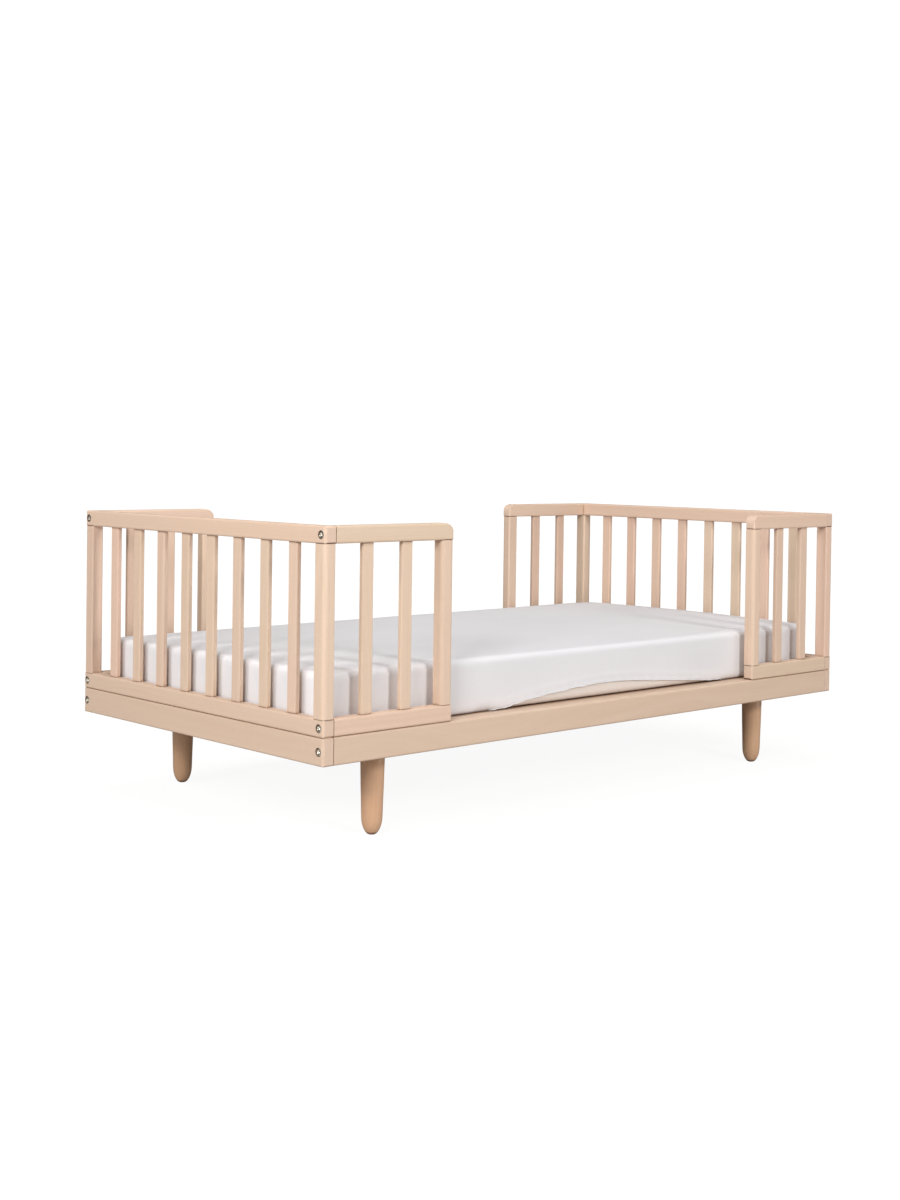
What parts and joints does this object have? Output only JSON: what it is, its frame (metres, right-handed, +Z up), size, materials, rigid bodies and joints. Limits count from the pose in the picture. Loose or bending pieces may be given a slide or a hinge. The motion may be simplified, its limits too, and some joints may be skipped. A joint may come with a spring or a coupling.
{
  "type": "junior bed",
  "caption": "Low slatted junior bed in pale beech: a U-shaped slatted guard at each end, open sides, round tapered legs, and a mattress with a fitted sheet.",
  "frame": {"origin": "on the floor, under the middle of the bed's plan", "axes": "+X along the bed towards the right end of the picture, +Y from the near long side to the far one, +Z up"},
  "size_m": [1.45, 0.758, 0.548],
  "materials": {
    "beech": "matt clear lacquer on pale beech",
    "beech_turned": "matt clear lacquer on turned beech",
    "slat_wood": "planed, unfinished",
    "dowel_wood": "raw turned dowel",
    "zinc_steel": "zinc plated, satin",
    "mattress_ticking": "woven cotton ticking over foam",
    "sheet_cotton": "plain woven cotton"
  },
  "bodies": {
    "frame": {"left_end_top_rail": "beech", "left_end_bottom_rail": "beech", "left_base_end_rail": "beech", "left_end_slat_1": "beech", "left_end_slat_2": "beech", "left_end_slat_3": "beech", "left_end_slat_4": "beech", "left_end_slat_5": "beech", "left_end_slat_6": "beech", "left_end_slat_7": "beech", "left_end_slat_8": "beech", "left_near_corner_post": "beech", "left_near_return_post": "beech", "left_near_return_top_rail": "beech", "left_near_return_bottom_rail": "beech", "left_near_return_slats": "beech", "left_near_leg": "beech_turned", "left_far_corner_post": "beech", "left_far_return_post": "beech", "left_far_return_top_rail": "beech", "left_far_return_bottom_rail": "beech", "left_far_return_slats": "beech", "left_far_leg": "beech_turned", "right_end_top_rail": "beech", "right_end_bottom_rail": "beech", "right_base_end_rail": "beech", "right_end_slat_1": "beech", "right_end_slat_2": "beech", "right_end_slat_3": "beech", "right_end_slat_4": "beech", "right_end_slat_5": "beech", "right_end_slat_6": "beech", "right_end_slat_7": "beech", "right_end_slat_8": "beech", "right_near_corner_post": "beech", "right_near_return_post": "beech", "right_near_return_top_rail": "beech", "right_near_return_bottom_rail": "beech", "right_near_return_slats": "beech", "right_near_leg": "beech_turned", "right_far_corner_post": "beech", "right_far_return_post": "beech", "right_far_return_top_rail": "beech", "right_far_return_bottom_rail": "beech", "right_far_return_slats": "beech", "right_far_leg": "beech_turned", "near_base_side_rail": "beech", "far_base_side_rail": "beech", "left_leg_beam": "beech", "right_leg_beam": "beech", "slat_ledgers": "slat_wood", "base_slats": "slat_wood", "connector_bolts": "zinc_steel", "insert_nuts": "zinc_steel", "guard_bolts": "zinc_steel", "joint_dowels": "dowel_wood", "leg_bolts": "zinc_steel"},
    "bedding": {"mattress": "mattress_ticking", "fitted_sheet": "sheet_cotton"}
  },
  "joints": [
    {"name": "mattress_lift", "type": "slide", "parent": "frame", "child": "bedding", "axis": [0, 0, 1], "range_m": [0, 0.45]}
  ]
}
